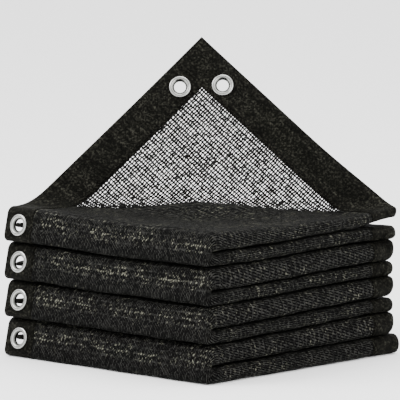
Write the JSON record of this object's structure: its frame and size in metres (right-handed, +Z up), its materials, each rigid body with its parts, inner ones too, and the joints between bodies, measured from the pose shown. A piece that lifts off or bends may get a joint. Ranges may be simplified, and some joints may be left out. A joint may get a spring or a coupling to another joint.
{
  "type": "folded shade cloth",
  "caption": "Bordered knitted shade net folded into a square stack, its top corner lifted, with metal eyelets in the edge tape.",
  "frame": {"origin": "middle of the underside, on the surface that the stack lies on", "axes": "+Z up; -Y is the side of the folds that hold the four eyelets; +X is the side of the half fold"},
  "size_m": [0.3052, 0.3064, 0.3388],
  "materials": {
    "net": "black knitted polyethylene net, dull with a slight sheen on its yarns",
    "tape": "black woven edge tape, fine weave, matte",
    "eyelet": "bright smooth pressed metal"
  },
  "bodies": {
    "root": {"net_width_1": "net", "net_width_2": "net", "net_width_3": "net", "net_width_4": "net", "side_tape_a": "tape", "side_tape_b": "tape", "end_tape_top": "tape", "end_tape_bottom": "tape", "seam_tape_1": "tape", "seam_tape_2": "tape", "seam_tape_3": "tape", "eyelet_apex_left": "eyelet", "eyelet_apex_right": "eyelet", "eyelet_fold_1": "eyelet", "eyelet_fold_2": "eyelet", "eyelet_fold_3": "eyelet", "eyelet_fold_4": "eyelet"}
  },
  "joints": []
}
